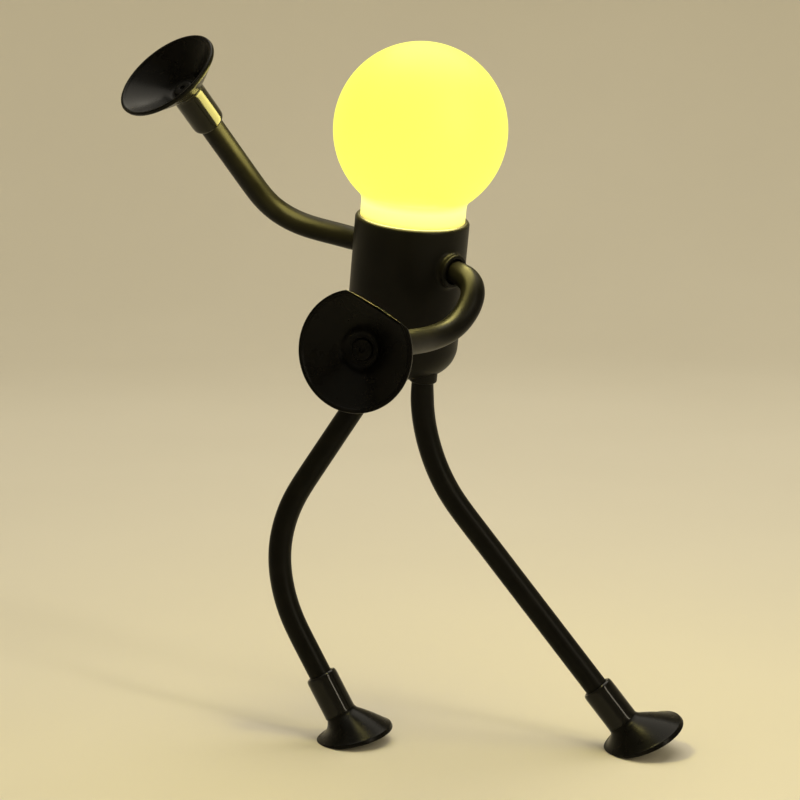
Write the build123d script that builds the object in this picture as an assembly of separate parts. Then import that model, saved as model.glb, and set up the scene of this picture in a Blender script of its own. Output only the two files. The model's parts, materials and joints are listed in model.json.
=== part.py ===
from build123d import *
import os
from math import cos, radians, sin, tan

# A night light built as a small figure: a frosted globe for its head, a round torso that holds the
# cell and the boards, and four limbs of soft tube over bendable wire, each ending in a suction cup.
# Millimetres, +Z up. The origin lies on the ground under the middle of the whole figure.

# How the torso stands: height of its base, turn of the shoulder line and lean of its axis
TORSO_BASE_HEIGHT = 133.0
SHOULDER_TURN = -45.0
SIDE_LEAN = 5.0
FORWARD_LEAN = 10.0

# Torso casing and base cap
CASING_RADIUS = 20.0
CASING_WALL = 2.6
TORSO_HEIGHT = 56.0
RIM_ROUND = 1.2
DOME_ROUND = 11.0
SEAM_HEIGHT = 13.0
CAP_WALL = 2.4
SPIGOT_HEIGHT = 4.0
SPIGOT_WALL = 1.6
FIT_CLEARANCE = 0.05

# Globe
GLOBE_RADIUS = 30.0
GLOBE_WALL = 1.4
GLOBE_RISE = 30.7
NECK_RADIUS = 18.3
NECK_INSERT = 4.0
NECK_BLEND = 4.0

# Bosses that take the limbs
SHOULDER_BOSS_RADIUS = 5.9
HIP_BOSS_RADIUS = 5.0
BOSS_ROUND = 0.7
BOSS_BLEND = 1.6
SHOULDER_MOUTH_GAP = 0.75
HIP_MOUTH_GAP = 0.4
BOSS_FLOOR = 3.4
SHOULDER_DROP = 14.2
SHOULDER_REACH = 22.5
HIP_SPREAD = 12.0
HIP_REACH = 0.6

# Limb tube, its wire, and the collars that hold the wire in the torso
TUBE_RADIUS = 3.85
CORE_RADIUS = 1.25
JOINT_GAP = 0.3
COLLAR_RADIUS = 2.7
COLLAR_LENGTH = 6.0
GRUB_RADIUS = 1.0
ROOT_TAIL = 1.0

# Suction cups
SLEEVE_RADIUS = 5.75
SLEEVE_LENGTH = 15.5
SLEEVE_ROUND = 1.2
SLEEVE_GRIP = 12.0
HAND_RADIUS = 18.8
HAND_DEPTH = 10.5
FOOT_RADIUS = 15.0
LEFT_FOOT_DEPTH = 9.4
RIGHT_FOOT_DEPTH = 8.5
CUP_FLOOR = 1.0
CUP_FLOOR_RADIUS = 5.0
LIP_WALL = 1.4
LIP_HEIGHT = 0.9
NUB_RADIUS = 3.5
NUB_HEIGHT = 1.4
NUB_DIMPLE_RADIUS = 0.9
FOOT_SEAT = 9.7

# How each soft bell gives: how far its rim slides across and up from the sleeve's axis, and for the feet
# the tilt from level and the bearing that the weight leaves them with
RAISED_HAND_SLIDE = (0.0, -1.9)
BENT_HAND_SLIDE = (1.6, 0.0)
LEFT_FOOT_SLIDE = (0.0, 1.1)
RIGHT_FOOT_SLIDE = (0.0, 3.1)
LEFT_FOOT_TILT = 11.4
LEFT_FOOT_BEARING = 10.0
RIGHT_FOOT_TILT = 23.6
RIGHT_FOOT_BEARING = 15.0

# Arms: one length, and for each arm the shares of its runs with their bearings and rises in degrees.
# The first run of every limb follows its boss, so it has no angles.
ARM_LENGTH = 85.0
RAISED_ARM_SHARES = (0.08, 0.32, 0.60)
RAISED_ARM_BEARINGS = (178.0, 235.0)
RAISED_ARM_RISES = (13.5, 43.0)
BENT_ARM_SHARES = (0.15, 0.21, 0.17, 0.47)
BENT_ARM_BEARINGS = (221.0, 226.0, 247.0)
BENT_ARM_RISES = (-55.5, -12.0, 3.0)

# Legs: shares of the drop from hip to ankle, with the lean from straight down and the bearing in degrees
LEFT_LEG_SHARES = (0.05, 0.45, 0.245, 0.255)
LEFT_LEG_LEANS = (35.5, 4.5, 28.5)
LEFT_LEG_BEARINGS = (197.0, 270.0, -16.0)
RIGHT_LEG_SHARES = (0.24, 0.76)
RIGHT_LEG_LEANS = (38.6,)
RIGHT_LEG_BEARINGS = (-13.0,)

# Where along a run a limb's middle bend lies, and how much of a run a bend may use
ELBOW_SHARE = 0.5
KNEE_SHARE = 0.5
END_RUN_BEND_SHARE = 0.95
INNER_RUN_BEND_SHARE = 0.48

# Lamp board on its shelf
LED_BOARD_RADIUS = 16.4
LED_BOARD_THICKNESS = 1.6
SHELF_THICKNESS = 1.6
SHELF_BORE = 11.0
CHIP_LENGTH = 3.5
CHIP_WIDTH = 2.8
CHIP_HEIGHT = 1.2
CHIP_COUNT = 6
CHIP_RING_RADIUS = 8.0
SCREW_SHANK_RADIUS = 1.0
SCREW_HEAD_RADIUS = 1.9
SCREW_HEAD_HEIGHT = 1.3
SCREW_LENGTH = 3.0
LED_SCREW_RING_RADIUS = 13.4

# Deck, cell and control board
DECK_THICKNESS = 1.5
LEDGE_WIDTH = 1.0
LEDGE_HEIGHT = 1.6
CELL_WIDTH = 20.0
CELL_DEPTH = 8.0
CELL_HEADROOM = 1.1
CELL_ROUND = 1.5
CELL_CENTRE_Y = -4.0
CRADLE_WALL = 1.2
CRADLE_SHARE = 0.6
BOARD_WIDTH = 20.0
BOARD_HEADROOM = 1.5
BOARD_THICKNESS = 1.2
BOARD_FACE_Y = 10.5
RAIL_WIDTH = 2.4
RAIL_DEPTH = 3.4
RAIL_SHARE = 0.35
INLET_WIDTH = 8.9
INLET_HEIGHT = 3.2
INLET_WALL = 0.35
INLET_REACH = 19.4
INLET_RISE_SHARE = 0.2
INLET_BACK = 2.0
BASE_SCREW_X = 7.0
BASE_SCREW_Y = -10.4
DECK_BOSS_RADIUS = 3.0
DECK_BOSS_LENGTH = 5.0
BASE_SCREW_LENGTH = 12.4

# Button and the switch behind it
BUTTON_RADIUS = 4.0
BUTTON_PROUD = 0.9
BUTTON_FLANGE_RADIUS = 5.0
BUTTON_FLANGE_FACE = 16.2
BUTTON_FLANGE_THICKNESS = 1.0
BUTTON_ROUND = 0.5
BUTTON_RISE_SHARE = 0.6
BUTTON_TRAVEL = 0.5
SWITCH_SIDE = 6.0
SWITCH_HEIGHT = 3.3
PLUNGER_RADIUS = 1.7
PLUNGER_SINK = 1.0

# Overrun of cuts past a face
OVERRUN = 1.0

parts = {}
MIN_Z = (Align.CENTER, Align.CENTER, Align.MIN)

# The torso's own frame: X along the shoulders, Y to the back, Z up its axis
axis_up = Vector(tan(radians(SIDE_LEAN)), -tan(radians(FORWARD_LEAN)), 1).normalized()
shoulder_line = Vector(cos(radians(SHOULDER_TURN)), sin(radians(SHOULDER_TURN)), 0)
to_back = axis_up.cross(shoulder_line).normalized()
to_side = to_back.cross(axis_up).normalized()
torso_plane = Plane(origin=(0, 0, TORSO_BASE_HEIGHT), x_dir=to_side, z_dir=axis_up)

inner_radius = CASING_RADIUS - CASING_WALL
neck_seat = TORSO_HEIGHT - NECK_INSERT
shoulder_height = TORSO_HEIGHT - SHOULDER_DROP
spigot_top = SEAM_HEIGHT + SPIGOT_HEIGHT
deck_top = spigot_top + DECK_THICKNESS
shelf_top = neck_seat - LED_BOARD_THICKNESS
cell_height = shoulder_height - COLLAR_RADIUS - CELL_HEADROOM - deck_top
cradle_height = cell_height * CRADLE_SHARE
board_height = shelf_top - SHELF_THICKNESS - BOARD_HEADROOM - deck_top
rail_height = board_height * RAIL_SHARE
boss_depth = TUBE_RADIUS + JOINT_GAP + FIT_CLEARANCE


def place(shape):
    """Carry a shape from the torso's own frame to where the torso stands."""
    return torso_plane.location * shape


def heading(bearing, rise):
    """Unit direction from a bearing round +Z and a rise above level, in degrees."""
    level = cos(radians(rise))
    return Vector(level * cos(radians(bearing)), level * sin(radians(bearing)), sin(radians(rise)))


def peg(radius, length, origin, direction):
    """Cylinder from a point along a direction."""
    return Plane(origin=origin, z_dir=direction).location * Cylinder(radius, length, align=MIN_Z)


# Boss positions in the torso's frame: mouth centre and outward direction
boss_mouths = {
    "raised_arm": (Vector(-SHOULDER_REACH, 0, shoulder_height), Vector(-1, 0, 0)),
    "bent_arm": (Vector(SHOULDER_REACH, 0, shoulder_height), Vector(1, 0, 0)),
    "left_leg": (Vector(-HIP_SPREAD, 0, -HIP_REACH), Vector(0, 0, -1)),
    "right_leg": (Vector(HIP_SPREAD, 0, -HIP_REACH), Vector(0, 0, -1)),
}
ARMS = ("raised_arm", "bent_arm")
LEGS = ("left_leg", "right_leg")


def boss_body(limb):
    """Outside of a boss, from its mouth through the wall to its floor's inner face."""
    mouth, out = boss_mouths[limb]
    boss_radius = SHOULDER_BOSS_RADIUS if limb in ARMS else HIP_BOSS_RADIUS
    boss = peg(boss_radius, boss_depth + BOSS_FLOOR, mouth, -out)
    rim = boss.edges().filter_by(GeomType.CIRCLE).sort_by(lambda edge: (edge.center() - mouth).length)[0]
    return fillet(rim, BOSS_ROUND)


def boss_cut(limb):
    """Bore that takes the root of the tube, with a narrow hole for the wire."""
    mouth, out = boss_mouths[limb]
    boss_bore = TUBE_RADIUS + (SHOULDER_MOUTH_GAP if limb in ARMS else HIP_MOUTH_GAP)
    wide = peg(boss_bore, boss_depth + OVERRUN, mouth + out * OVERRUN, -out)
    narrow = peg(CORE_RADIUS + FIT_CLEARANCE, boss_depth + BOSS_FLOOR + OVERRUN, mouth, -out)
    return wide + narrow


# Globe: a sphere that runs through a small hollow blend into a straight neck, open below
def globe_form(inset):
    """Solid of the globe, drawn in by a wall."""
    ball = GLOBE_RADIUS - inset
    neck = NECK_RADIUS - inset
    blend = NECK_BLEND + inset
    centre = TORSO_HEIGHT + GLOBE_RISE
    blend_drop = ((ball + blend) ** 2 - (neck + blend) ** 2) ** 0.5
    on_ball = ball / (ball + blend)
    blend_start = (neck, 0, centre - blend_drop)
    blend_end = ((neck + blend) * on_ball, 0, centre - blend_drop * on_ball)
    outline = Polyline((0, 0, centre + ball), (0, 0, neck_seat), (neck, 0, neck_seat), blend_start)
    outline += TangentArc(blend_start, blend_end, tangent=(0, 0, 1))
    outline += ThreePointArc(blend_end, (ball, 0, centre), (0, 0, centre + ball))
    return revolve(make_face(outline), Axis.Z)


globe = globe_form(0) - globe_form(GLOBE_WALL)
parts["globe"] = place(globe)

# Torso casing: round wall with a soft rim, a seat for the neck, a shelf for the lamp board and bosses
casing = Pos(0, 0, SEAM_HEIGHT) * Cylinder(CASING_RADIUS, TORSO_HEIGHT - SEAM_HEIGHT, align=MIN_Z)
casing = fillet(casing.edges().group_by(Axis.Z)[-1], RIM_ROUND)
shoulder_bosses = boss_body("raised_arm") + boss_body("bent_arm")
casing += shoulder_bosses
for limb in ARMS:
    mouth = boss_mouths[limb][0]
    seams = casing.edges().filter_by(GeomType.BSPLINE)
    casing = fillet(seams.sort_by(lambda seam: (seam.center() - mouth).length)[0], BOSS_BLEND)
hollow = Pos(0, 0, SEAM_HEIGHT - OVERRUN) * Cylinder(inner_radius, TORSO_HEIGHT, align=MIN_Z)
shelf = Pos(0, 0, shelf_top - SHELF_THICKNESS) * Cylinder(inner_radius, SHELF_THICKNESS, align=MIN_Z)
shelf -= Pos(0, 0, shelf_top - SHELF_THICKNESS) * Cylinder(SHELF_BORE, SHELF_THICKNESS, align=MIN_Z)
ledge = Pos(0, 0, deck_top) * Cylinder(inner_radius, LEDGE_HEIGHT, align=MIN_Z)
ledge -= Pos(0, 0, deck_top) * Cylinder(inner_radius - LEDGE_WIDTH, LEDGE_HEIGHT, align=MIN_Z)
casing -= hollow - shelf - ledge - shoulder_bosses
neck_bore = Cylinder(NECK_RADIUS + FIT_CLEARANCE, NECK_INSERT + OVERRUN, align=MIN_Z)
casing -= Pos(0, 0, neck_seat) * neck_bore
casing -= Pos(0, 0, shelf_top) * Cylinder(inner_radius, LED_BOARD_THICKNESS, align=MIN_Z)
for limb in ARMS:
    casing -= boss_cut(limb)
led_screw_spots = [Pos(0, side * LED_SCREW_RING_RADIUS, shelf_top) for side in (-1, 1)]
for spot in led_screw_spots:
    casing -= spot * Cylinder(SCREW_SHANK_RADIUS + FIT_CLEARANCE, (SHELF_THICKNESS + OVERRUN) * 2)
button_height = deck_top + board_height * BUTTON_RISE_SHARE
casing -= peg(BUTTON_RADIUS + FIT_CLEARANCE, CASING_RADIUS, (0, 0, button_height), (0, 1, 0))
inlet_height = deck_top + board_height * INLET_RISE_SHARE


def inlet_slot(grow, length):
    """Stadium-shaped bar that points to the back of the torso."""
    outline = SlotOverall(INLET_WIDTH + grow * 2, INLET_HEIGHT + grow * 2)
    return Plane(origin=(0, 0, inlet_height), x_dir=(1, 0, 0), z_dir=(0, 1, 0)).location * extrude(outline, length)


casing -= inlet_slot(FIT_CLEARANCE, CASING_RADIUS + OVERRUN) - inlet_slot(FIT_CLEARANCE, BOARD_FACE_Y)
parts["torso_casing"] = place(casing)

# Base cap: domed shell with a spigot that plugs into the casing, and the two hip bosses
cap = Cylinder(CASING_RADIUS, SEAM_HEIGHT, align=MIN_Z)
cap = fillet(cap.edges().group_by(Axis.Z)[0], DOME_ROUND)
spigot_radius = inner_radius - FIT_CLEARANCE
cap += Cylinder(spigot_radius, spigot_top, align=MIN_Z) - Cylinder(spigot_radius, SEAM_HEIGHT, align=MIN_Z)
cap_hollow = Pos(0, 0, CAP_WALL) * Cylinder(spigot_radius - SPIGOT_WALL, spigot_top, align=MIN_Z)
cap_hollow = fillet(cap_hollow.edges().group_by(Axis.Z)[0], DOME_ROUND - CAP_WALL)
hip_bosses = boss_body("left_leg") + boss_body("right_leg")
cap = cap - cap_hollow + hip_bosses
for limb in LEGS:
    cap -= boss_cut(limb)
base_screw_spots = [Pos(side * BASE_SCREW_X, BASE_SCREW_Y, 0) for side in (-1, 1)]
deck_boss_foot = spigot_top - DECK_BOSS_LENGTH
screw_head_foot = deck_boss_foot + SCREW_LENGTH - BASE_SCREW_LENGTH
for spot in base_screw_spots:
    cap -= spot * Cylinder(SCREW_SHANK_RADIUS + FIT_CLEARANCE, spigot_top, align=MIN_Z)
    cap -= spot * Pos(0, 0, -OVERRUN) * Cylinder(
        SCREW_HEAD_RADIUS + FIT_CLEARANCE, screw_head_foot + OVERRUN, align=MIN_Z)
parts["base_cap"] = place(cap)

# Screws that hold the cap: head sunk in the cap, shank up into the deck's bosses
cap_screws = Part()
for spot in base_screw_spots:
    head = Cylinder(SCREW_HEAD_RADIUS, SCREW_HEAD_HEIGHT, align=(Align.CENTER, Align.CENTER, Align.MAX))
    shank = Cylinder(SCREW_SHANK_RADIUS, BASE_SCREW_LENGTH, align=MIN_Z)
    cap_screws += spot * Pos(0, 0, screw_head_foot) * (head + shank)
parts["base_screws"] = place(cap_screws)

# Deck: disc trapped between the cap's spigot and the casing's ledge, with screw bosses below,
# a cradle for the cell and two grooved rails for the control board above
deck = Pos(0, 0, spigot_top) * Cylinder(spigot_radius, DECK_THICKNESS, align=MIN_Z)
for spot in base_screw_spots:
    deck += spot * Pos(0, 0, deck_boss_foot) * Cylinder(DECK_BOSS_RADIUS, DECK_BOSS_LENGTH, align=MIN_Z)
for spot in base_screw_spots:
    screw_hole = Cylinder(SCREW_SHANK_RADIUS + FIT_CLEARANCE, BASE_SCREW_LENGTH, align=MIN_Z)
    deck -= spot * Pos(0, 0, screw_head_foot) * screw_hole
cradle_outside = Box(CELL_WIDTH + CRADLE_WALL * 2, CELL_DEPTH + CRADLE_WALL * 2, cradle_height, align=MIN_Z)
cradle_inside = Box(CELL_WIDTH + FIT_CLEARANCE * 2, CELL_DEPTH + FIT_CLEARANCE * 2, cradle_height, align=MIN_Z)
deck += Pos(0, CELL_CENTRE_Y, deck_top) * (cradle_outside - cradle_inside)
board_centre_y = BOARD_FACE_Y - BOARD_THICKNESS / 2
for side in (-1, 1):
    rail = Pos(side * BOARD_WIDTH / 2, board_centre_y, deck_top) * Box(
        RAIL_WIDTH, RAIL_DEPTH, rail_height, align=MIN_Z)
    deck += rail
board_groove = Box(BOARD_WIDTH + FIT_CLEARANCE * 2, BOARD_THICKNESS + FIT_CLEARANCE * 2, rail_height, align=MIN_Z)
deck -= Pos(0, board_centre_y, deck_top) * board_groove
parts["inner_deck"] = place(deck)

# Cell standing in its cradle
cell = Pos(0, CELL_CENTRE_Y, deck_top) * Box(CELL_WIDTH, CELL_DEPTH, cell_height, align=MIN_Z)
parts["battery_cell"] = place(fillet(cell.edges().filter_by(Axis.Z), CELL_ROUND))

# Control board in its rails, with the charging socket and the switch body on its back face
board = Pos(0, board_centre_y, deck_top) * Box(BOARD_WIDTH, BOARD_THICKNESS, board_height, align=MIN_Z)
parts["control_board"] = place(board)
inlet_bar = inlet_slot(0, INLET_REACH) - inlet_slot(0, BOARD_FACE_Y)
inlet_bar -= inlet_slot(-INLET_WALL, INLET_REACH) - inlet_slot(-INLET_WALL, BOARD_FACE_Y + INLET_BACK)
parts["charge_inlet"] = place(inlet_bar)
switch_plane = Plane(origin=(0, BOARD_FACE_Y, button_height), x_dir=(1, 0, 0), z_dir=(0, 1, 0))
switch_body = Box(SWITCH_SIDE, SWITCH_SIDE, SWITCH_HEIGHT, align=MIN_Z)
plunger_well = PLUNGER_SINK + BUTTON_TRAVEL + JOINT_GAP
switch_body -= Pos(0, 0, SWITCH_HEIGHT - plunger_well) * Cylinder(
    PLUNGER_RADIUS + FIT_CLEARANCE, plunger_well, align=MIN_Z)
parts["tact_switch"] = place(switch_plane.location * switch_body)

# Button: cap that slides in the casing's bore, with a flange that keeps it in, pushing the plunger
flange_back = BUTTON_FLANGE_FACE - BUTTON_FLANGE_THICKNESS
plunger_foot = BOARD_FACE_Y + SWITCH_HEIGHT - PLUNGER_SINK
plunger = peg(PLUNGER_RADIUS, flange_back - plunger_foot, (0, plunger_foot, button_height), (0, 1, 0))
parts["switch_plunger"] = place(plunger)
button_end = CASING_RADIUS + BUTTON_PROUD
button = peg(BUTTON_RADIUS, button_end - flange_back, (0, flange_back, button_height), (0, 1, 0))
button = fillet(button.edges().group_by(Axis.Y)[-1], BUTTON_ROUND)
button += peg(BUTTON_FLANGE_RADIUS, BUTTON_FLANGE_THICKNESS, (0, flange_back, button_height), (0, 1, 0))
parts["power_button"] = place(button)

# Lamp board on the shelf, with a ring of chips round one in the middle, and two screws
led_board = Pos(0, 0, shelf_top) * Cylinder(LED_BOARD_RADIUS, LED_BOARD_THICKNESS, align=MIN_Z)
for spot in led_screw_spots:
    led_board -= spot * Cylinder(SCREW_SHANK_RADIUS + FIT_CLEARANCE, SCREW_LENGTH * 2)
parts["led_board"] = place(led_board)
chip = Box(CHIP_LENGTH, CHIP_WIDTH, CHIP_HEIGHT, align=MIN_Z)
chips = Pos(0, 0, neck_seat) * (chip + [spot * chip for spot in PolarLocations(CHIP_RING_RADIUS, CHIP_COUNT)])
parts["led_chips"] = place(chips)
led_screws = Part()
for spot in led_screw_spots:
    head = Pos(0, 0, LED_BOARD_THICKNESS) * Cylinder(SCREW_HEAD_RADIUS, SCREW_HEAD_HEIGHT, align=MIN_Z)
    shank_length = LED_BOARD_THICKNESS + SHELF_THICKNESS
    shank = Pos(0, 0, -SHELF_THICKNESS) * Cylinder(SCREW_SHANK_RADIUS, shank_length, align=MIN_Z)
    led_screws += spot * (head + shank)
parts["led_screws"] = place(led_screws)

# Inside the torso every wire ends in a clamp collar with a grub screw, drawn up against the boss floor
core_roots = Part()
core_collars = Part()
collar_screws = Part()
for limb, (mouth, out) in boss_mouths.items():
    floor_face = mouth - out * (boss_depth + BOSS_FLOOR)
    root_start = mouth - out * (TUBE_RADIUS + JOINT_GAP)
    root_length = boss_depth + BOSS_FLOOR + COLLAR_LENGTH + ROOT_TAIL - TUBE_RADIUS - JOINT_GAP
    root = peg(CORE_RADIUS, root_length, root_start, -out)
    collar = peg(COLLAR_RADIUS, COLLAR_LENGTH, floor_face, -out)
    collar -= peg(CORE_RADIUS + FIT_CLEARANCE, COLLAR_LENGTH, floor_face, -out)
    screw_way = Vector(0, -1, 0)
    screw_foot = floor_face - out * (COLLAR_LENGTH / 2) + screw_way * (CORE_RADIUS + FIT_CLEARANCE)
    collar -= peg(GRUB_RADIUS + FIT_CLEARANCE, COLLAR_RADIUS, screw_foot, screw_way)
    core_roots += root
    core_collars += collar
    collar_screws += peg(GRUB_RADIUS, COLLAR_RADIUS - CORE_RADIUS, screw_foot, screw_way)
parts["core_roots"] = place(core_roots)
parts["core_collars"] = place(core_collars)
parts["collar_screws"] = place(collar_screws)


# Limbs: routes of straight runs, rounded by tangent arcs as large as the runs allow
def in_world(point):
    """Point of the torso's frame where the torso stands."""
    return torso_plane.from_local_coords(point)


def limb_root(limb):
    """Mouth of a limb's boss and its outward direction where the torso stands."""
    mouth, out = boss_mouths[limb]
    start = in_world(mouth)
    return start, (in_world(mouth + out) - start).normalized()


def arm_points(limb, shares, bearings, rises):
    """Corners of an arm from its boss to the mouth of its hand's sleeve."""
    start, out = limb_root(limb)
    directions = [out] + [heading(bearing, rise) for bearing, rise in zip(bearings, rises)]
    points = [start]
    for share, direction in zip(shares, directions):
        points.append(points[-1] + direction * (ARM_LENGTH * share))
    return points


def ankle_height(lean):
    """Height of a foot's sleeve mouth when the low side of its bell is pressed flat on the ground."""
    return FOOT_SEAT + SLEEVE_LENGTH * cos(radians(lean))


def leg_points(limb, shares, leans, bearings):
    """Corners of a leg from its boss to the mouth of its foot's sleeve."""
    start, out = limb_root(limb)
    drop = start.Z - ankle_height(leans[-1])
    directions = [out] + [heading(bearing, lean - 90) for bearing, lean in zip(bearings, leans)]
    points = [start]
    for share, direction in zip(shares, directions):
        points.append(points[-1] + direction * (drop * share / -direction.Z))
    return points


def rounded_route(points):
    """Straight runs with a tangent arc at each corner."""
    runs = [end - start for start, end in zip(points, points[1:])]
    limits = [run.length * INNER_RUN_BEND_SHARE for run in runs]
    limits[0] = runs[0].length * END_RUN_BEND_SHARE
    limits[-1] = runs[-1].length * END_RUN_BEND_SHARE
    if len(runs) == 1:
        return Line(points[0], points[1])
    radii = []
    for index in range(len(runs) - 1):
        half_turn = radians(runs[index].get_angle(runs[index + 1]) / 2)
        radii.append(min(limits[index], limits[index + 1]) / tan(half_turn))
    print("bend radii", [round(radius, 1) for radius in radii])
    return FilletPolyline(*points, radius=radii)


def rod(route, radius):
    """Round bar along a route."""
    return sweep(Plane(origin=route @ 0, z_dir=route % 0) * Circle(radius), path=route)


def ball(radius, centre, front):
    """Sphere about a point, with its seam turned from the front."""
    return Plane(origin=centre, x_dir=-front, z_dir=front.cross(Vector(0, 0, 1))).location * Sphere(radius)


def round_end(radius, centre, direction):
    """Half ball on the end of a bar."""
    return Plane(origin=centre, z_dir=direction).location * Sphere(radius, arc_size1=0, arc_size2=90, align=MIN_Z)


def add_limb(limb, points, middle_run, middle_share):
    """Both halves of a limb's tube and wire, meeting in a round seat at the middle bend."""
    middle = points[middle_run] + (points[middle_run + 1] - points[middle_run]) * middle_share
    end_way = (points[-1] - points[-2]).normalized()
    tube_end = points[-1] + end_way * SLEEVE_GRIP
    upper_route = rounded_route(points[:middle_run + 1] + [middle])
    lower_route = rounded_route([middle] + points[middle_run + 1:-1] + [tube_end])
    core_bore = CORE_RADIUS + FIT_CLEARANCE
    upper = rod(upper_route, TUBE_RADIUS) - rod(upper_route, core_bore)
    root_end = round_end(TUBE_RADIUS, points[0], -(upper_route % 0))
    middle_end = round_end(TUBE_RADIUS, middle, upper_route % 1)
    parts[limb + "_upper_sheath"] = upper + root_end + middle_end
    parts[limb + "_upper_core"] = rod(upper_route, CORE_RADIUS)
    seat = ball(TUBE_RADIUS + JOINT_GAP, middle, lower_route % 0)
    parts[limb + "_lower_sheath"] = rod(lower_route, TUBE_RADIUS) - rod(lower_route, core_bore) - seat
    parts[limb + "_lower_core"] = rod(lower_route, CORE_RADIUS) - seat
    return middle


# Cups: sleeve over the end of the tube, then a bell that flares to its lip, with a nub on its floor
def cup(mouth, sleeve_way, open_way, rim_radius, depth, slide):
    """Suction cup from the mouth of its sleeve; a soft bell slides aside and may open another way than its sleeve."""
    sleeve = peg(SLEEVE_RADIUS, SLEEVE_LENGTH, mouth, sleeve_way)
    sleeve_rim = sleeve.edges().filter_by(GeomType.CIRCLE).sort_by(lambda edge: (edge.center() - mouth).length)[0]
    sleeve = fillet(sleeve_rim, SLEEVE_ROUND)
    junction = mouth + sleeve_way * SLEEVE_LENGTH
    across = Vector(0, 0, 1).cross(sleeve_way).normalized()
    top_plane = Plane(origin=junction, x_dir=across, z_dir=sleeve_way)
    floor_plane = Plane(origin=junction + sleeve_way * CUP_FLOOR, x_dir=across, z_dir=sleeve_way)
    upward = sleeve_way.cross(across)
    rim_centre = junction + sleeve_way * depth + across * slide[0] + upward * slide[1]
    rim_plane = Plane(origin=rim_centre, x_dir=across, z_dir=open_way)
    lip_plane = rim_plane.offset(-LIP_HEIGHT)
    bell = loft([top_plane * Circle(SLEEVE_RADIUS), lip_plane * Circle(rim_radius)], ruled=True)
    bell += lip_plane.location * Cylinder(rim_radius, LIP_HEIGHT, align=MIN_Z)
    bell -= loft([floor_plane * Circle(CUP_FLOOR_RADIUS), rim_plane * Circle(rim_radius - LIP_WALL)], ruled=True)
    nub = Cylinder(NUB_RADIUS, NUB_HEIGHT, align=MIN_Z)
    nub -= Pos(0, 0, NUB_HEIGHT / 2) * Cylinder(NUB_DIMPLE_RADIUS, NUB_HEIGHT, align=MIN_Z)
    tube_bore = peg(TUBE_RADIUS + FIT_CLEARANCE, SLEEVE_GRIP + FIT_CLEARANCE, mouth, sleeve_way)
    return sleeve + bell + floor_plane.location * nub - tube_bore


def below_ground(solid):
    """Block that covers everything of a solid that lies under the ground."""
    box = solid.bounding_box()
    depth = OVERRUN - box.min.Z
    return Pos(box.center().X, box.center().Y, 0) * Box(
        box.size.X + OVERRUN, box.size.Y + OVERRUN, depth, align=(Align.CENTER, Align.CENTER, Align.MAX))


routes = {
    "raised_arm": arm_points("raised_arm", RAISED_ARM_SHARES, RAISED_ARM_BEARINGS, RAISED_ARM_RISES),
    "bent_arm": arm_points("bent_arm", BENT_ARM_SHARES, BENT_ARM_BEARINGS, BENT_ARM_RISES),
    "left_leg": leg_points("left_leg", LEFT_LEG_SHARES, LEFT_LEG_LEANS, LEFT_LEG_BEARINGS),
    "right_leg": leg_points("right_leg", RIGHT_LEG_SHARES, RIGHT_LEG_LEANS, RIGHT_LEG_BEARINGS),
}
foot_ways = {
    "left_leg": heading(LEFT_FOOT_BEARING, LEFT_FOOT_TILT - 90),
    "right_leg": heading(RIGHT_FOOT_BEARING, RIGHT_FOOT_TILT - 90),
}
bell_depths = {
    "raised_arm": HAND_DEPTH,
    "bent_arm": HAND_DEPTH,
    "left_leg": LEFT_FOOT_DEPTH,
    "right_leg": RIGHT_FOOT_DEPTH,
}
bell_slides = {
    "raised_arm": RAISED_HAND_SLIDE,
    "bent_arm": BENT_HAND_SLIDE,
    "left_leg": LEFT_FOOT_SLIDE,
    "right_leg": RIGHT_FOOT_SLIDE,
}
middle_runs = {"raised_arm": 1, "bent_arm": 1, "left_leg": 2, "right_leg": 1}
middles = {}
for limb, points in routes.items():
    share = ELBOW_SHARE if limb in ARMS else KNEE_SHARE
    middles[limb] = add_limb(limb, points, middle_runs[limb], share)
    end_way = (points[-1] - points[-2]).normalized()
    rim_radius = FOOT_RADIUS if limb in LEGS else HAND_RADIUS
    open_way = foot_ways.get(limb, end_way)
    limb_cup = cup(points[-1], end_way, open_way, rim_radius, bell_depths[limb], bell_slides[limb])
    if limb in LEGS:
        limb_cup -= below_ground(limb_cup)
    parts[limb + "_cup"] = limb_cup

# The middle of the whole figure's footprint goes over the origin
whole = parts["globe"].bounding_box()
for shape in parts.values():
    whole = whole.add(shape.bounding_box())
to_origin = Pos(-whole.center().X, -whole.center().Y, 0)
os.makedirs("parts", exist_ok=True)
for node, shape in parts.items():
    export_step(to_origin * shape, f"parts/{node}.step")
print("size", whole.size, "moved by", to_origin.position)
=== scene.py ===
# A night light built as a small standing figure: a lit globe on a round black torso, with four soft
# limbs that end in suction cups. Metres, +Z up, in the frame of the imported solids.
import json
import math

import bmesh
import bpy
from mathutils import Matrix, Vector
from mathutils.geometry import interpolate_bezier


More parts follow.
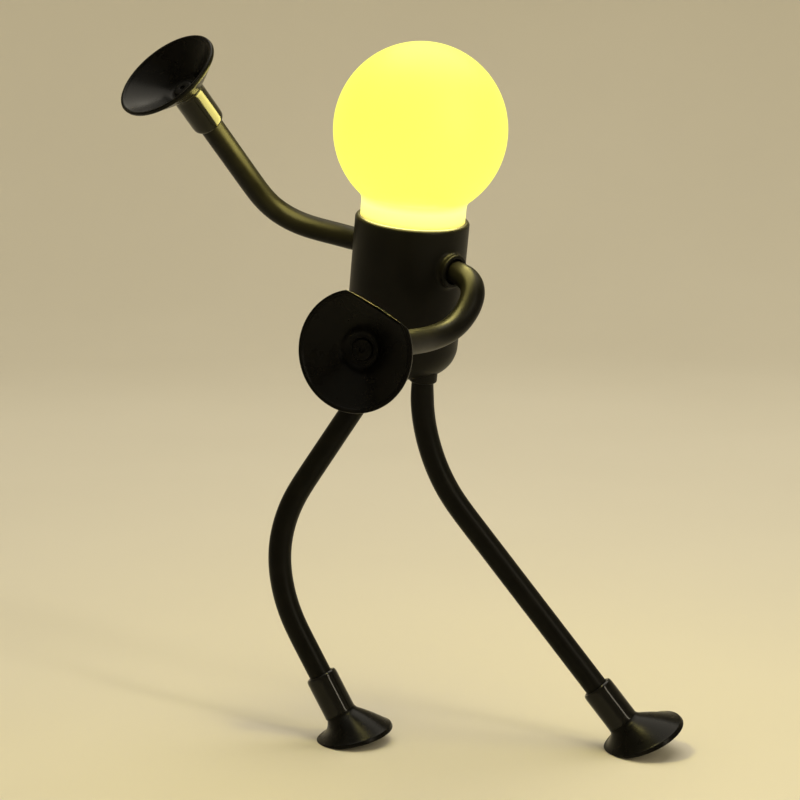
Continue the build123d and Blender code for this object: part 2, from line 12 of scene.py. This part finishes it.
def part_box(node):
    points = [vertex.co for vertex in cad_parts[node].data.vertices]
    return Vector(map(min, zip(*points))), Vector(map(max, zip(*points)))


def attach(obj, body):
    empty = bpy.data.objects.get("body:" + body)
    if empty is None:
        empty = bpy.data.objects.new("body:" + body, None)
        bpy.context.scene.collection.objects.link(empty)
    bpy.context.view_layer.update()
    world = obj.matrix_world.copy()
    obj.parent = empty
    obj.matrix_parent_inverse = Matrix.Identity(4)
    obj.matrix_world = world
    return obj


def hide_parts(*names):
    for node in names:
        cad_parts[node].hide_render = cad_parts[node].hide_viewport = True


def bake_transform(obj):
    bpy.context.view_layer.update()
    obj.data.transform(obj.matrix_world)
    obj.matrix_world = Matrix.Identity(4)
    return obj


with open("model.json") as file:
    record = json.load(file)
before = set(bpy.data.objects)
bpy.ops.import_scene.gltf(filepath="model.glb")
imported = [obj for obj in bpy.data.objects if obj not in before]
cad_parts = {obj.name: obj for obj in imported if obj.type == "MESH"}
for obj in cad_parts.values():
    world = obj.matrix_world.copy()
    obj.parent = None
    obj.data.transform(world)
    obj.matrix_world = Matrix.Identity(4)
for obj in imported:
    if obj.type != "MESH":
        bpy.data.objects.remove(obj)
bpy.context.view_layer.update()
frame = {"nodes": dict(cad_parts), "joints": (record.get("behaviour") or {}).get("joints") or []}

# Torso casing and base cap: the figure's trunk, two mouldings in black plastic that plug together at
# a fine seam and carry the bosses for the limbs. The mould's satin texture leaves a faint grain, and
# handling has polished it unevenly.
mm = 0.001
joints = {joint["name"]: joint for joint in frame["joints"]}
torso_up = Vector(joints["bent_arm_shoulder"]["axis"]).normalized()
torso_back = Vector(joints["raised_arm_shoulder"]["axis"]).normalized()
torso_side = torso_back.cross(torso_up)
shoulder_height = 41.8 * mm
shoulders = [Vector(joints[arm + "_shoulder"]["pos_m"]) for arm in ("raised_arm", "bent_arm")]
torso_base = (shoulders[0] + shoulders[1]) / 2 - torso_up * shoulder_height


def finish(name, tones, roughness, patch, grain, relief, specular=0.5, metallic=0.0):
    """Material whose tone and roughness drift between two ends over patches, under a fine grain."""
    tone_ends = (0.35, 0.65)
    polish_ends = (0.3, 0.7)
    material = bpy.data.materials.new(name)
    material.use_nodes = True
    nodes = material.node_tree.nodes
    links = material.node_tree.links
    shader = nodes["Principled BSDF"]
    shader.inputs["Specular IOR Level"].default_value = specular
    shader.inputs["Metallic"].default_value = metallic
    where = nodes.new("ShaderNodeTexCoord").outputs["Object"]
    drift = nodes.new("ShaderNodeTexNoise")
    drift.inputs["Scale"].default_value = 1 / patch
    drift.inputs["Detail"].default_value = 5
    links.new(where, drift.inputs["Vector"])
    tone = nodes.new("ShaderNodeValToRGB")
    for element, position, colour in zip(tone.color_ramp.elements, tone_ends, tones):
        element.position = position
        element.color = (*colour, 1)
    links.new(drift.outputs["Fac"], tone.inputs["Fac"])
    links.new(tone.outputs["Color"], shader.inputs["Base Color"])
    polish = nodes.new("ShaderNodeMapRange")
    polish.inputs["From Min"].default_value = polish_ends[0]
    polish.inputs["From Max"].default_value = polish_ends[1]
    polish.inputs["To Min"].default_value = roughness[0]
    polish.inputs["To Max"].default_value = roughness[1]
    links.new(drift.outputs["Fac"], polish.inputs["Value"])
    links.new(polish.outputs["Result"], shader.inputs["Roughness"])
    pits = nodes.new("ShaderNodeTexNoise")
    pits.inputs["Scale"].default_value = 1 / grain
    pits.inputs["Detail"].default_value = 2
    links.new(where, pits.inputs["Vector"])
    bump = nodes.new("ShaderNodeBump")
    bump.inputs["Distance"].default_value = relief
    links.new(pits.outputs["Fac"], bump.inputs["Height"])
    links.new(bump.outputs["Normal"], shader.inputs["Normal"])
    return material


def dress(material, *solids):
    """Put a finish on solids of the frame."""
    for solid in solids:
        for slot in frame["nodes"][solid].material_slots:
            slot.material = material


satin_black = finish(
    "satin_black", tones=((0.0026, 0.0024, 0.0018), (0.0040, 0.0037, 0.0029)),
    roughness=(0.36, 0.44), patch=14 * mm, grain=0.3 * mm, relief=0.012 * mm, specular=0.1)
dress(satin_black, "torso_casing", "base_cap")

# Globe: a blow-moulded ball of frosted plastic whose neck curves in and plugs into the top of the
# casing. Lit from below it glows an even warm yellow, paler in the neck, where the lamp board is close.
globe_radius = 30 * mm
globe_wall = 1.4 * mm
globe_rise = 30.7 * mm
globe_sides = 128
ball_steps = 48
torso_height = 56 * mm
neck_radius = 18.3 * mm
neck_depth = 4 * mm
neck_curve = 4 * mm
neck_steps = 12
neck_glow = 12 * mm
glow_stops = (
    (0.0, (1.0, 0.82, 0.16)),
    (0.1, (1.0, 0.98, 0.28)),
    (0.42, (1.0, 1.0, 0.36)),
    (0.72, (1.0, 1.0, 0.13)),
    (1.0, (1.0, 0.99, 0.125)),
)
glow_strength = 1.0


def as_piece(name, shape):
    """Object with a smooth mesh whose faces all look outwards."""
    bmesh.ops.recalc_face_normals(shape, faces=shape.faces)
    for face in shape.faces:
        face.smooth = True
    mesh = bpy.data.meshes.new(name)
    shape.to_mesh(mesh)
    shape.free()
    piece = bpy.data.objects.new(name, mesh)
    bpy.context.scene.collection.objects.link(piece)
    return piece


def turned(name, profile, foot, axis, sides):
    """Smooth piece turned round an axis from (radius, height) pairs, closed at a pair on the axis."""
    on_axis = 1e-7
    across = axis.orthogonal().normalized()
    along = axis.cross(across)
    turns = [math.tau * index / sides for index in range(sides)]
    spokes = [across * math.cos(turn) + along * math.sin(turn) for turn in turns]
    shape = bmesh.new()
    rings = []
    for radius, height in profile:
        centre = foot + axis * height
        if radius < on_axis:
            rings.append([shape.verts.new(centre)])
        else:
            rings.append([shape.verts.new(centre + spoke * radius) for spoke in spokes])
    for lower, upper in zip(rings, rings[1:]):
        for index in range(sides):
            after = (index + 1) % sides
            corners = (lower[index % len(lower)], lower[after % len(lower)],
                       upper[after % len(upper)], upper[index % len(upper)])
            shape.faces.new(list(dict.fromkeys(corners)))
    return as_piece(name, shape)


def globe_outline(inset):
    """(radius, height) pairs from the top of the globe to the foot of its neck, drawn in by a wall."""
    ball = globe_radius - inset
    neck = neck_radius - inset
    curve = neck_curve + inset
    drop = math.sqrt((ball + curve) ** 2 - (neck + curve) ** 2)
    middle = torso_height + globe_rise
    last = math.acos(-drop / (ball + curve))
    outline = []
    for step in range(ball_steps + 1):
        sweep = last * step / ball_steps
        outline.append((ball * math.sin(sweep), middle + ball * math.cos(sweep)))
    for step in range(1, neck_steps + 1):
        sweep = (last - math.pi / 2) * (1 - step / neck_steps)
        radius = neck + curve - curve * math.cos(sweep)
        outline.append((radius, middle - drop + curve * math.sin(sweep)))
    outline.append((neck, torso_height - neck_depth))
    return outline


globe_profile = globe_outline(0) + globe_outline(globe_wall)[::-1]
globe = turned("frosted_globe", globe_profile, torso_base, torso_up, globe_sides)
frosted = finish(
    "frosted_glow", tones=((0.34, 0.32, 0.05), (0.38, 0.36, 0.06)),
    roughness=(0.5, 0.58), patch=18 * mm, grain=0.2 * mm, relief=0.01 * mm)
frosted_nodes = frosted.node_tree.nodes
frosted_links = frosted.node_tree.links
frosted_shader = frosted_nodes["Principled BSDF"]
height_up = frosted_nodes.new("ShaderNodeVectorMath")
height_up.operation = "DOT_PRODUCT"
height_up.inputs[1].default_value = torso_up
frosted_links.new(frosted_nodes["Texture Coordinate"].outputs["Object"], height_up.inputs[0])
neck_foot = torso_base.dot(torso_up) + torso_height
neck_share = frosted_nodes.new("ShaderNodeMapRange")
neck_share.inputs["From Min"].default_value = neck_foot
neck_share.inputs["From Max"].default_value = neck_foot + neck_glow
frosted_links.new(height_up.outputs["Value"], neck_share.inputs["Value"])
glow = frosted_nodes.new("ShaderNodeValToRGB")
for stop, (position, colour) in enumerate(glow_stops):
    elements = glow.color_ramp.elements
    element = elements[stop] if stop < 2 else elements.new(position)
    element.position = position
    element.color = (*colour, 1)
frosted_links.new(neck_share.outputs["Result"], glow.inputs["Fac"])
frosted_links.new(glow.outputs["Color"], frosted_shader.inputs["Emission Color"])
frosted_shader.inputs["Emission Strength"].default_value = glow_strength
globe.data.materials.append(frosted)
globe.visible_shadow = False
globe.visible_glossy = False
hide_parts("globe")
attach(globe, "torso")

# Lamp board under the globe: a white solder-masked disc with seven warm lamp chips, held on its shelf
# by two small steel screws. The same plated steel makes the cap's and the collars' screws.
chip_glow = (1.0, 0.80, 0.30, 1)
chip_strength = 2.0
board_white = finish(
    "lamp_board_white", tones=((0.62, 0.61, 0.57), (0.70, 0.69, 0.66)),
    roughness=(0.35, 0.5), patch=3 * mm, grain=0.2 * mm, relief=0.006 * mm)
phosphor = finish(
    "chip_phosphor", tones=((0.72, 0.50, 0.08), (0.80, 0.60, 0.12)),
    roughness=(0.45, 0.6), patch=1 * mm, grain=0.1 * mm, relief=0.01 * mm)
phosphor_shader = phosphor.node_tree.nodes["Principled BSDF"]
phosphor_shader.inputs["Emission Color"].default_value = chip_glow
phosphor_shader.inputs["Emission Strength"].default_value = chip_strength
plated_steel = finish(
    "plated_steel", tones=((0.42, 0.41, 0.39), (0.52, 0.51, 0.50)),
    roughness=(0.24, 0.36), patch=2 * mm, grain=0.08 * mm, relief=0.004 * mm, metallic=1.0)
dress(board_white, "led_board")
dress(phosphor, "led_chips")
dress(plated_steel, "led_screws", "base_screws", "collar_screws")

# Deck, cell and control board inside the torso: a natural grey moulding that cradles the cell in its
# blue film, and a green circuit board in two rails. They are closed in and seen only with the cap off.
deck_grey = finish(
    "deck_grey", tones=((0.16, 0.16, 0.16), (0.20, 0.20, 0.19)),
    roughness=(0.45, 0.55), patch=9 * mm, grain=0.3 * mm, relief=0.01 * mm)
cell_film = finish(
    "cell_film", tones=((0.10, 0.17, 0.30), (0.13, 0.21, 0.36)),
    roughness=(0.22, 0.32), patch=6 * mm, grain=1.5 * mm, relief=0.03 * mm)
board_green = finish(
    "board_green", tones=((0.01, 0.09, 0.035), (0.02, 0.15, 0.06)),
    roughness=(0.28, 0.42), patch=1.6 * mm, grain=0.4 * mm, relief=0.02 * mm)
dress(deck_grey, "inner_deck")
dress(cell_film, "battery_cell")
dress(board_green, "control_board")

# Charging socket, switch and button in the back: a drawn steel shell with a flat black tongue on the
# board, a small black switch with its plunger, and a gloss black button cap that slides in the casing.
tongue_half_width = 3.1 * mm
tongue_half_thick = 0.35 * mm
tongue_sides = 16
tongue_edge = ((-1.6, 0.0), (1.7, 0.0), (1.95, 0.1), (2.05, 0.22))
gloss_black = finish(
    "gloss_black", tones=((0.008, 0.008, 0.008), (0.011, 0.011, 0.010)),
    roughness=(0.14, 0.22), patch=4 * mm, grain=0.5 * mm, relief=0.003 * mm)
switch_black = finish(
    "switch_black", tones=((0.018, 0.018, 0.018), (0.026, 0.026, 0.025)),
    roughness=(0.45, 0.55), patch=2 * mm, grain=0.15 * mm, relief=0.008 * mm)
dress(plated_steel, "charge_inlet")
dress(switch_black, "tact_switch", "switch_plunger")
dress(gloss_black, "power_button")
inlet_low, inlet_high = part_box("charge_inlet")
inlet_middle = (Vector(inlet_low) + Vector(inlet_high)) / 2
tongue_turns = [math.tau * (step + 0.5) / tongue_sides for step in range(tongue_sides)]
tongue_shape = bmesh.new()
tongue_rings = []
for out, drawn_in in tongue_edge:
    round_edge = tongue_half_thick - drawn_in * mm
    ring = []
    for turn in tongue_turns:
        flat_half = math.copysign(tongue_half_width - tongue_half_thick, math.cos(turn))
        corner = inlet_middle + torso_back * out * mm
        corner += torso_side * (flat_half + round_edge * math.cos(turn))
        corner += torso_up * round_edge * math.sin(turn)
        ring.append(tongue_shape.verts.new(corner))
    tongue_rings.append(ring)
for before, after in zip(tongue_rings, tongue_rings[1:]):
    for step in range(tongue_sides):
        tongue_shape.faces.new((before[step], before[step - 1], after[step - 1], after[step]))
for ring in (tongue_rings[0], tongue_rings[-1]):
    tongue_shape.faces.new(ring)
tongue = as_piece("socket_tongue", tongue_shape)
tongue.data.materials.append(switch_black)
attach(tongue, "torso")

# Wires in the limbs: annealed steel rods that hold every pose, clamped inside the torso by turned
# brass collars with grub screws.
limbs = ("raised_arm", "bent_arm", "left_leg", "right_leg")
drawn_wire = finish(
    "drawn_wire", tones=((0.30, 0.29, 0.28), (0.38, 0.37, 0.35)),
    roughness=(0.30, 0.42), patch=5 * mm, grain=0.1 * mm, relief=0.006 * mm, metallic=1.0)
turned_brass = finish(
    "turned_brass", tones=((0.58, 0.40, 0.15), (0.68, 0.49, 0.20)),
    roughness=(0.22, 0.34), patch=2 * mm, grain=0.06 * mm, relief=0.005 * mm, metallic=1.0)
dress(drawn_wire, "core_roots")
for limb in limbs:
    dress(drawn_wire, limb + "_upper_core", limb + "_lower_core")
dress(turned_brass, "core_collars")

# Limb tubes: soft black tube pushed over the wires, satin on the outside, that runs from each boss
# through the elbow or knee into the sleeve of its cup. Each limb is two lengths of one skin, cut
# between its root and its middle joint.
tube_radius = 4.15 * mm
tube_sides = 40
tube_step = 0.9 * mm
root_radius = 3.85 * mm
root_swell = 6 * mm
root_tail = 3 * mm
root_bend = 7 * mm
elbow_bend = 11 * mm
knee_bend = 20 * mm
arm_length = 85 * mm
foot_seat = 9.7 * mm
sleeve_length = 15.5 * mm
sleeve_grip = 12 * mm
whole_room = 0.95
shared_room = 0.48
bend_pull = 0.58
bend_points = 24
soft_rounds = 50
root_held = 5


def heading(bearing, rise):
    """Unit direction from a bearing round +Z and a rise above level, in degrees."""
    bearing, rise = math.radians(bearing), math.radians(rise)
    level = math.cos(rise)
    return Vector((level * math.cos(bearing), level * math.sin(bearing), math.sin(rise)))


def limb_run(root, ways, lengths, middle_run, middle_bend):
    """Corners of a limb from its boss to its cup's sleeve, the place among them of its middle joint,
    which is half along a run, and the reach of that joint's bend."""
    stops = [root]
    for way, length in zip(ways, lengths):
        stops.append(stops[-1] + way * length)
    middle = middle_run + 1
    stops.insert(middle, (stops[middle_run] + stops[middle]) / 2)
    return stops, middle, middle_bend


def arm_run(arm, out, shares, angles, middle_run):
    """Run of an arm, which first follows its boss."""
    root = Vector(joints[arm + "_shoulder"]["pos_m"])
    ways = [out] + [heading(bearing, rise) for bearing, rise in angles]
    lengths = [arm_length * share for share in shares]
    return limb_run(root, ways, lengths, middle_run, elbow_bend)


def leg_run(leg, shares, angles, middle_run):
    """Run of a leg, whose lengths share the drop from its boss to its ankle."""
    root = Vector(joints[leg + "_hip"]["pos_m"])
    ways = [-torso_up] + [heading(bearing, lean - 90) for bearing, lean in angles]
    drop = root.z - foot_seat - sleeve_length * math.cos(math.radians(angles[-1][1]))
    lengths = [drop * share / -way.z for share, way in zip(shares, ways)]
    return limb_run(root, ways, lengths, middle_run, knee_bend)


limb_runs = {
    "raised_arm": arm_run(
        "raised_arm", -torso_side, shares=(0.08, 0.32, 0.60),
        angles=((178, 13.5), (235, 43)), middle_run=1),
    "bent_arm": arm_run(
        "bent_arm", torso_side, shares=(0.15, 0.21, 0.17, 0.47),
        angles=((221, -55.5), (226, -12), (247, 3)), middle_run=1),
    "left_leg": leg_run(
        "left_leg", shares=(0.05, 0.45, 0.245, 0.255),
        angles=((197, 35.5), (270, 4.5), (-16, 28.5)), middle_run=2),
    "right_leg": leg_run(
        "right_leg", shares=(0.24, 0.76),
        angles=((-13, 38.6),), middle_run=1),
}


def tube_line(stops, middle):
    """Even points along a limb's middle line, from inside its boss to its end in the sleeve, and the
    number of the point nearest to its middle joint."""
    end_way = (stops[-1] - stops[-2]).normalized()
    stops = stops[:-1] + [stops[-1] + end_way * sleeve_grip]
    runs = [after - before for before, after in zip(stops, stops[1:])]
    whole_runs = (0, middle - 1, middle, len(runs) - 1)
    room = [run.length * (whole_room if index in whole_runs else shared_room)
            for index, run in enumerate(runs)]
    line = [stops[0] - runs[0].normalized() * root_tail, stops[0]]
    for index in range(1, len(stops) - 1):
        if index == middle:
            continue
        corner = stops[index]
        reach = min(room[index - 1], room[index])
        start = corner - runs[index - 1].normalized() * reach
        end = corner + runs[index].normalized() * reach
        line += interpolate_bezier(
            start, start.lerp(corner, bend_pull), end.lerp(corner, bend_pull), end, bend_points)
    line.append(stops[-1])
    even = [line[0]]
    spare = 0.0
    for before, after in zip(line, line[1:]):
        run = after - before
        place = tube_step - spare
        while place <= run.length:
            even.append(before + run.normalized() * place)
            place += tube_step
        spare = run.length - (place - tube_step)
    sleeve_held = round(sleeve_grip / tube_step)
    for _ in range(soft_rounds):
        eased = [(before + here * 2 + after) / 4
                 for before, here, after in zip(even, even[1:], even[2:])]
        even = even[:root_held] + eased[root_held - 1:-sleeve_held] + even[-sleeve_held - 1:]
    nearest = min(range(len(even)), key=lambda index: (even[index] - stops[middle]).length)
    return even, nearest


def tube_skin(name, line, radii, first, last):
    """Round skin along a line from its first to its last point, with a radius at each and flat ends."""
    turns = [math.tau * side / tube_sides for side in range(tube_sides)]
    shape = bmesh.new()
    way = (line[1] - line[0]).normalized()
    across = way.orthogonal().normalized()
    rings = []
    for index, (point, radius) in enumerate(zip(line, radii)):
        new_way = (line[min(index + 1, len(line) - 1)] - line[max(index - 1, 0)]).normalized()
        across = way.rotation_difference(new_way) @ across
        way = new_way
        along = way.cross(across)
        if first <= index <= last:
            spokes = [across * math.cos(turn) + along * math.sin(turn) for turn in turns]
            rings.append([shape.verts.new(point + spoke * radius) for spoke in spokes])
    for before, after in zip(rings, rings[1:]):
        for side in range(tube_sides):
            shape.faces.new((before[side], before[side - 1], after[side - 1], after[side]))
    for ring in (rings[0], rings[-1]):
        for edge in shape.faces.new(ring).edges:
            edge.smooth = False
    return as_piece(name, shape)


soft_black = finish(
    "soft_tube_black", tones=((0.0030, 0.0028, 0.0021), (0.0044, 0.0041, 0.0032)),
    roughness=(0.33, 0.41), patch=7 * mm, grain=0.25 * mm, relief=0.008 * mm, specular=0.08)
for limb, (stops, middle, middle_bend) in limb_runs.items():
    line, middle_index = tube_line(stops, middle)
    root_index = round(root_tail / tube_step)
    root_end = root_index + round(root_bend / tube_step)
    reach = round(middle_bend / tube_step)
    split = (root_end + middle_index - reach) // 2
    places = [(index - root_index) * tube_step for index in range(len(line))]
    swell = [min(max(place / root_swell, 0), 1) for place in places]
    radii = [root_radius + (tube_radius - root_radius) * share for share in swell]
    root_skin = tube_skin(limb + "_root_tube", line, radii, 0, split)
    end_skin = tube_skin(limb + "_end_tube", line, radii, split, len(line) - 1)
    for skin in (root_skin, end_skin):
        skin.data.materials.append(soft_black)
    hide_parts(limb + "_upper_sheath")
    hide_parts(limb + "_lower_sheath")
    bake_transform(root_skin)
    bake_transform(end_skin)

# Hands: suction cups in glossy black rubber, moulded in one with the sleeve that grips the tube. The
# thin bell flares to a soft rounded lip and sags a little to one side, and a small nub with a dimple
# stands on its floor. Profiles are in millimetres, bell shares in parts of its flare and depth.
hand_bell = 10.5
raised_hand_radius = 18.3
hip_hand_radius = 18.8
hip_slide = 1.6
sleeve_radius = 5.75
sleeve_end = 13.2
tube_mouth = 4.2
mouth_depth = 12.0
floor_depth = 1.0
bell_wall = 0.4
cup_sides = 96
worn_rounds = 3
worn_share = 0.25
sleeve_profile = (
    (0, mouth_depth), (tube_mouth, mouth_depth), (tube_mouth, 0.9), (4.45, 0.25), (4.95, 0.0),
    (5.45, 0.3), (sleeve_radius, 1.2), (sleeve_radius, 4.0), (sleeve_radius, 9.0),
    (sleeve_radius, sleeve_end))
bell_shares = (
    (0.0, 0.0), (0.045, 0.1), (0.16, 0.19), (0.42, 0.40), (0.70, 0.64), (0.90, 0.81), (0.975, 0.865))
lip_profile = (
    (0.0, -1.2), (0.03, -0.6), (-0.08, -0.1), (-0.55, 0.0), (-1.1, -0.12), (-1.45, -0.55))
inside_shares = (
    (0.93, 0.93), (0.72, 0.74), (0.42, 0.47), (0.16, 0.24), (0.06, 0.1), (-0.02, 0.02))
nub_profile = (
    (3.7, 0.05), (3.5, 0.3), (3.45, 1.0), (3.2, 1.3), (2.7, 1.4), (1.1, 1.4), (0.85, 1.3),
    (0.8, 0.8), (0.55, 0.7), (0, 0.7))


def worn(profile, rounds):
    """Profile with its corners worn round, its ends kept."""
    kept = 1 - worn_share
    for _ in range(rounds):
        softer = [profile[0]]
        for (radius, height), (next_radius, next_height) in zip(profile, profile[1:]):
            softer.append((radius * kept + next_radius * worn_share,
                           height * kept + next_height * worn_share))
            softer.append((radius * worn_share + next_radius * kept,
                           height * worn_share + next_height * kept))
        profile = softer + [profile[-1]]
    return profile


def cup_profile(rim_radius, bell):
    """(radius, height) pairs in metres, from the closed end of the tube's bore round to the nub."""
    flare = rim_radius - sleeve_radius
    neck = sleeve_length / mm
    floor = neck + floor_depth
    outside = [(sleeve_radius + flare * out, neck + bell * down) for out, down in bell_shares]
    rim = [(rim_radius + out, neck + bell + down) for out, down in lip_profile]
    inside = [(sleeve_radius + flare * out - bell_wall, floor + (bell - floor_depth) * down)
              for out, down in inside_shares]
    nub = [(radius, floor + rise) for radius, rise in nub_profile]
    profile = worn(list(sleeve_profile) + outside + rim + inside + nub, worn_rounds)
    return [(radius * mm, height * mm) for radius, height in profile]


def add_cup(limb, name, rim_radius, bell, slide, open_way=None, waist=0.0):
    """Cup on the end of a limb, whose soft bell slides aside, turns to its own way and draws in to a
    waist on its low side."""
    stops = limb_runs[limb][0]
    mouth = stops[-1]
    sleeve_way = (stops[-1] - stops[-2]).normalized()
    across = Vector((0, 0, 1)).cross(sleeve_way).normalized()
    sag = (across * slide[0] + sleeve_way.cross(across) * slide[1]) * mm
    open_way = open_way or sleeve_way
    turn = sleeve_way.rotation_difference(open_way)
    low_way = Vector((-open_way.x, -open_way.y, 0)).normalized()
    cup = turned(limb + name, cup_profile(rim_radius, bell), mouth, sleeve_way, cup_sides)
    cup.data.materials.append(cup_black)
    cup.data.materials.append(sleeve_black)
    for face in cup.data.polygons:
        face.material_index = int((face.center - mouth).dot(sleeve_way) < sleeve_length)
    for corner in cup.data.vertices:
        height = (corner.co - mouth).dot(sleeve_way)
        share = min(max((height - sleeve_length) / (bell * mm), 0), 1)
        centre = mouth + sleeve_way * height
        spoke = corner.co - centre
        low = max(spoke.normalized().dot(low_way), 0)
        spoke *= 1 - waist * low * low * 4 * share * (1 - share)
        corner.co = centre + sag * share + spoke.lerp(turn @ spoke, share)
    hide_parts(limb + "_cup")
    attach(cup, limb + "_lower")
    return cup


rubber_tones = ((0.0022, 0.0021, 0.0017), (0.0034, 0.0032, 0.0026))
cup_black = finish(
    "cup_rubber_black", tones=rubber_tones,
    roughness=(0.24, 0.31), patch=8 * mm, grain=0.8 * mm, relief=0.004 * mm, specular=0.08)
sleeve_black = finish(
    "sleeve_rubber_black", tones=rubber_tones,
    roughness=(0.12, 0.18), patch=8 * mm, grain=0.8 * mm, relief=0.003 * mm, specular=0.22)
add_cup("raised_arm", "_hand_cup", raised_hand_radius, hand_bell,
        slide=(-1.3, -2.0), open_way=heading(226, 44))
hip_hand = add_cup("bent_arm", "_hand_cup", hip_hand_radius, hand_bell, slide=(hip_slide, 0))

# The hip hand's soft lip has taken a flat set along its upper side.
flat_way = Vector((0.54, 0.11, 0.835)).normalized()
flat_reach = 14.4 * mm
flat_give = 0.85
hip_stops = limb_runs["bent_arm"][0]
hip_way = (hip_stops[-1] - hip_stops[-2]).normalized()
hip_across = Vector((0, 0, 1)).cross(hip_way).normalized()
hip_rim = hip_stops[-1] + hip_way * (sleeve_length + hand_bell * mm) + hip_across * hip_slide * mm
for corner in hip_hand.data.vertices:
    over = (corner.co - hip_rim).dot(flat_way) - flat_reach
    if over > 0:
        corner.co -= flat_way * over * flat_give

# Feet: the same kind of cup, smaller, in the same black rubber and on the same sleeve, pressed on the
# ground so that each bell turns flatter than its sleeve and the low side of its lip lies flat.
sole_soft = 1.2 * mm
sole_thick = 0.8 * mm
left_foot = add_cup("left_leg", "_foot_cup", rim_radius=14.2, bell=9.4,
                    slide=(0, 1.1), open_way=heading(10, 11.4 - 90), waist=0.3)
right_foot = add_cup("right_leg", "_foot_cup", rim_radius=15.0, bell=8.5,
                     slide=(0, 3.1), open_way=heading(15, 23.6 - 90), waist=0.1)
for foot in (left_foot, right_foot):
    for corner in foot.data.vertices:
        press = min(max((corner.co.z + sole_soft) / (sole_soft + sole_thick), 0), 1)
        corner.co.z = corner.co.z if press == 1 else sole_thick * press * press

# Floor: one plain round sheet in matt pale paint that the figure stands on. It curves up all round
# without an edge, so that it is the backdrop from every side.
floor_flat = 1.1
floor_curve = 0.6
floor_high = 1.9
floor_sides = 96
curve_steps = 10
floor_profile = [(0, 0)]
for step in range(curve_steps + 1):
    turn = math.pi / 2 * step / curve_steps
    reach = floor_flat + floor_curve * math.sin(turn)
    floor_profile.append((reach, floor_curve * (1 - math.cos(turn))))
floor_profile.append((floor_flat + floor_curve, floor_high))
floor = turned("pale_floor", floor_profile, Vector((0, 0, 0)), Vector((0, 0, 1)), floor_sides)
floor_paint = finish(
    "pale_floor_paint", tones=((0.68, 0.64, 0.53), (0.70, 0.66, 0.55)),
    roughness=(0.75, 0.85), patch=300 * mm, grain=2 * mm, relief=0.01 * mm)
floor.data.materials.append(floor_paint)

# Studio light: a wide soft lamp overhead, a tall narrow strip that draws the thin lines of light on
# the rubber, and the glow of the figure's own globe. The open studio gives a weak fill, and the eye,
# gloss and clear pieces see it as a pale wall.
globe_power = 1.1
globe_colour = (1.0, 0.86, 0.24)
globe_gap = 0.1 * mm
fill_colour = (0.92, 0.88, 0.78, 1)
fill_strength = 0.15
wall_colour = (0.54, 0.49, 0.37, 1)


def lamp(name, width, height, power, place, target, colour):
    """Flat soft lamp that looks at a point."""
    light = bpy.data.lights.new(name, "AREA")
    light.shape = "RECTANGLE"
    light.size = width
    light.size_y = height
    light.energy = power
    light.color = colour
    fixture = bpy.data.objects.new(name, light)
    fixture.location = place
    fixture.rotation_euler = (Vector(target) - Vector(place)).to_track_quat("-Z", "Y").to_euler()
    bpy.context.scene.collection.objects.link(fixture)


lamp("wide_soft_lamp", width=1.4, height=1.4, power=16,
     place=(0.15, 0.45, 1.35), target=(0, 0.1, 0.0), colour=(1.0, 0.93, 0.78))
lamp("narrow_strip_lamp", width=0.08, height=0.9, power=3.4,
     place=(0.75, -0.65, 0.55), target=(0, 0, 0.12), colour=(1.0, 0.90, 0.68))
globe_light = bpy.data.lights.new("globe_light", "POINT")
globe_light.energy = globe_power
globe_light.color = globe_colour
globe_light.shadow_soft_size = globe_radius - globe_gap
globe_light.use_soft_falloff = False
globe_bulb = bpy.data.objects.new("globe_light", globe_light)
globe_bulb.location = torso_base + torso_up * (torso_height + globe_rise)
bpy.context.scene.collection.objects.link(globe_bulb)

world = bpy.data.worlds.new("studio")
bpy.context.scene.world = world
world.use_nodes = True
sky_nodes = world.node_tree.nodes
sky_links = world.node_tree.links
fill = sky_nodes["Background"]
fill.inputs["Color"].default_value = fill_colour
fill.inputs["Strength"].default_value = fill_strength
pale_wall = sky_nodes.new("ShaderNodeBackground")
pale_wall.inputs["Color"].default_value = wall_colour
seen = sky_nodes.new("ShaderNodeLightPath")
camera_or_gloss = sky_nodes.new("ShaderNodeMath")
camera_or_gloss.operation = "MAXIMUM"
or_through = sky_nodes.new("ShaderNodeMath")
or_through.operation = "MAXIMUM"
which_sky = sky_nodes.new("ShaderNodeMixShader")
sky_links.new(seen.outputs["Is Camera Ray"], camera_or_gloss.inputs[0])
sky_links.new(seen.outputs["Is Glossy Ray"], camera_or_gloss.inputs[1])
sky_links.new(camera_or_gloss.outputs["Value"], or_through.inputs[0])
sky_links.new(seen.outputs["Is Transmission Ray"], or_through.inputs[1])
sky_links.new(or_through.outputs["Value"], which_sky.inputs["Fac"])
sky_links.new(fill.outputs["Background"], which_sky.inputs[1])
sky_links.new(pale_wall.outputs["Background"], which_sky.inputs[2])
sky_links.new(which_sky.outputs["Shader"], sky_nodes["World Output"].inputs["Surface"])
bpy.context.scene.view_settings.view_transform = "Standard"

# Camera: a long lens about 0.7 m in front of the torso, at the height of the globe, that looks
# slightly down on the figure.
camera_place = Vector((0.4, -706.8, 95.2)) * mm
camera_fall = 0.15
camera_data = bpy.data.cameras.new("camera")
camera_data.lens = 90
camera_data.sensor_width = 36
camera = bpy.data.objects.new("camera", camera_data)
camera.location = torso_base + camera_place
camera.rotation_euler = (math.pi / 2 - math.atan(camera_fall), 0, 0)
bpy.context.scene.collection.objects.link(camera)
bpy.context.scene.camera = camera
